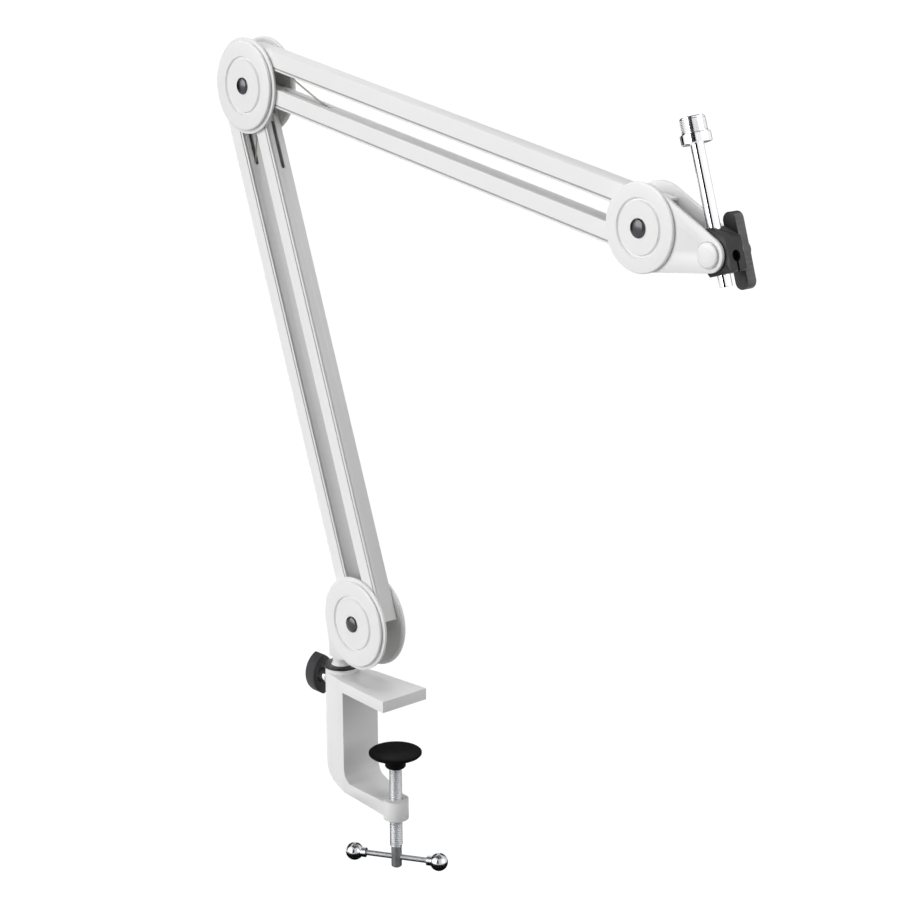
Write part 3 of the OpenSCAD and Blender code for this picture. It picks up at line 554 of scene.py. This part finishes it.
# Microphone adapter: 5/8 inch with 27 threads to the inch on a round collar
adapter = dict(outer=7.9375, pitch=0.9407, threadLength=9.6, collarRadius=9.15, collarHeight=6.0, bore=4.05,
               edge=0.45, core=7.3, mouth=4.4, mouthDepth=4.0, rodLength=84, rodBelow=19.5)
a = adapter
top = a["collarHeight"] + a["threadLength"]
adapterMesh = joinMeshes("micAdapter", [
    threadMesh(a["outer"], a["pitch"], a["threadLength"] - 0.4, "nickelPlate", a["collarHeight"] - 0.1),
    lathe([(a["bore"], 0), (a["collarRadius"] - a["edge"], 0), (a["collarRadius"], a["edge"]),
           (a["collarRadius"], a["collarHeight"] - a["edge"]), (a["collarRadius"] - a["edge"], a["collarHeight"]),
           (a["core"], a["collarHeight"]), (a["core"], top - 0.5), (a["core"] - 0.4, top), (a["mouth"] + 0.2, top),
           (a["mouth"], top - 0.4), (a["mouth"], top - a["mouthDepth"]), (3.0, top - a["mouthDepth"] - 0.6),
           (0, top - a["mouthDepth"] - 0.6), (0, 2.9), (a["bore"], 2.9), (a["bore"], 0.01)]),
])
lean = Vector((0, 0, 1)).rotation_difference(rodAxis).to_matrix().to_4x4()
rodTop = axlePoint + rodAxis * (a["rodLength"] - a["rodBelow"]) * mm
adapterMesh.transform(Matrix.Translation(rodTop) @ lean)
newObject("micAdapter", adapterMesh, "nickelPlate", "adapter", ["thread_adapter"])
print("threads made")


def seenDirectly(tree):
    # 1 for the camera's rays and for what mirrors and glass show
    path = addNode(tree, "ShaderNodeLightPath").outputs
    seen = addNode(tree, "ShaderNodeMath", {0: path["Is Camera Ray"], 1: path["Is Glossy Ray"]}, operation="MAXIMUM")
    return addNode(tree, "ShaderNodeMath", {0: seen.outputs[0], 1: path["Is Transmission Ray"]},
                   operation="MAXIMUM").outputs[0]


# Floor, seen as white with only a trace of shadow. drop is mm below the part: the screw goes down 22.2 at most.
# glow is its brightness where it is seen directly, and glowShare how much of it glows there.
floorForm = dict(drop=23.5, glow=1.1, glowShare=0.92)
floorLevel = cadLow.z - floorForm["drop"] * mm
floorMesh = bpy.data.meshes.new("floor")
floorMesh.from_pydata([(-12, -12, 0), (12, -12, 0), (12, 12, 0), (-12, 12, 0)], [], [(0, 1, 2, 3)])
floorMesh.transform(Matrix.Translation((0, 0, floorLevel)))
floorObject = bpy.data.objects.new("floor", floorMesh)
scene.collection.objects.link(floorObject)
floorPaint = bpy.data.materials.new("paleSweep")
floorPaint.use_nodes = True
tree = floorPaint.node_tree
tree.nodes.clear()
speck = addNode(tree, "ShaderNodeTexNoise", {"Vector": addNode(tree, "ShaderNodeTexCoord").outputs["Object"],
                                             "Scale": 40.0})
tone = addNode(tree, "ShaderNodeMix", {0: speck.outputs["Fac"], 6: linear("#ACACAC"), 7: linear("#A6A6A6")},
               data_type="RGBA")
matt = addNode(tree, "ShaderNodeBsdfDiffuse", {"Color": tone.outputs[2]})
white = addNode(tree, "ShaderNodeEmission", {"Color": (1, 1, 1, 1), "Strength": floorForm["glow"]})
share = addNode(tree, "ShaderNodeMath", {0: seenDirectly(tree), 1: floorForm["glowShare"]}, operation="MULTIPLY")
both = addNode(tree, "ShaderNodeMixShader", {0: share.outputs[0], 1: matt.outputs[0], 2: white.outputs[0]})
addNode(tree, "ShaderNodeOutputMaterial", {"Surface": both.outputs[0]})
floorMesh.materials.append(floorPaint)
floorObject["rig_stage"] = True

# Studio light: an even white room, a broad key from the front, a soft light from above and one from the right behind
studio = dict(roomLight=0.14)
lamps = [
    dict(name="key", towards=(-0.285, -0.933, 0.22), strength=2.98, angle=62),
    dict(name="overhead", towards=(0.0, 0.1, 1.0), strength=1.3, angle=40),
    dict(name="rim", towards=(0.85, 0.4, 0.3), strength=0.85, angle=50),
]
world = bpy.data.worlds.new("whiteRoom")
scene.world = world
world.use_nodes = True
tree = world.node_tree
tree.nodes.clear()
strength = addNode(tree, "ShaderNodeMapRange", {"Value": seenDirectly(tree), "To Min": studio["roomLight"],
                                                "To Max": 1.0})
back = addNode(tree, "ShaderNodeBackground", {"Color": (1, 1, 1, 1), "Strength": strength.outputs[0]})
addNode(tree, "ShaderNodeOutputWorld", {"Surface": back.outputs[0]})

for s in lamps:
    lamp = bpy.data.lights.new(s["name"], "SUN")
    lamp.energy = s["strength"]
    lamp.angle = math.radians(s["angle"])
    made = bpy.data.objects.new(s["name"], lamp)
    scene.collection.objects.link(made)
    made.rotation_mode = "QUATERNION"
    made.rotation_quaternion = (-Vector(s["towards"])).to_track_quat("-Z", "Y")

# Camera at the photograph's place
view = dict(place=(1.0907, -0.9159, 0.5566), lookAt=(0.06448, 0.0, 0.19776), lens=83.7, roll=-0.285)
camera = bpy.data.cameras.new("camera")
camera.sensor_width = 36
camera.lens = view["lens"]
camera.clip_start = 0.05
camera.clip_end = 60
cameraObject = bpy.data.objects.new("camera", camera)
scene.collection.objects.link(cameraObject)
cameraObject.location = view["place"]
cameraObject.rotation_mode = "QUATERNION"
towards = (Vector(view["lookAt"]) - Vector(view["place"])).to_track_quat("-Z", "Y")
cameraObject.rotation_quaternion = towards @ Quaternion((0, 0, 1), math.radians(view["roll"]))
scene.camera = cameraObject

# Dark flags that only reflections see; they draw the dark lines on chrome. turn is degrees from the camera.
flags = [
    dict(name="flagStripe", turn=-23, wide=0.95, tall=2.4, away=1.6, rise=0.2),
    dict(name="flagBackLeft", turn=-138, wide=1.9, tall=2.4, away=1.6, rise=0.2),
    dict(name="flagBackRight", turn=157, wide=1.0, tall=2.4, away=1.6, rise=0.2),
]
# level flags: one over the arm, and a small mat under the clamp for the cross bar and its balls
levelFlags = [
    dict(name="flagOverhead", middle=(0.1, 0.0, 1.5), size=1.7),
    dict(name="flagMat", middle=(0.03, 0.01, floorLevel + 0.0003), size=0.28),
]
flagPaint = bpy.data.materials.new("matteBlackFlock")
flagPaint.use_nodes = True
tree = flagPaint.node_tree
tree.nodes.clear()
nap = addNode(tree, "ShaderNodeTexNoise", {"Vector": addNode(tree, "ShaderNodeTexCoord").outputs["Object"],
                                           "Scale": 60.0})
dark = addNode(tree, "ShaderNodeMix", {0: nap.outputs["Fac"], 6: linear("#101010"), 7: linear("#181818")},
               data_type="RGBA")
cloth = addNode(tree, "ShaderNodeBsdfDiffuse", {"Color": dark.outputs[2]})
addNode(tree, "ShaderNodeOutputMaterial", {"Surface": cloth.outputs[0]})
cameraTurn = math.atan2(view["place"][1], view["place"][0])


def addFlag(name, corners, place):
    mesh = bpy.data.meshes.new(name)
    mesh.from_pydata(corners, [], [(0, 1, 2, 3)])
    mesh.transform(place)
    mesh.materials.append(flagPaint)
    made = bpy.data.objects.new(name, mesh)
    scene.collection.objects.link(made)
    made.visible_camera = False
    made.visible_diffuse = False
    made.visible_shadow = False
    made.visible_transmission = False
    made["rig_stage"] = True


for f in flags:
    w, h = f["wide"] / 2, f["tall"] / 2
    angle = cameraTurn + math.radians(f["turn"])
    stand = Matrix.Translation((0.1 + f["away"] * math.cos(angle), f["away"] * math.sin(angle), f["rise"]))
    addFlag(f["name"], [(0, -w, -h), (0, w, -h), (0, w, h), (0, -w, h)], stand @ Matrix.Rotation(angle, 4, "Z"))
for f in levelFlags:
    w = f["size"] / 2
    addFlag(f["name"], [(-w, -w, 0), (w, -w, 0), (w, w, 0), (-w, w, 0)], Matrix.Translation(f["middle"]))

scene.view_settings.view_transform = "Standard"
low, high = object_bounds()
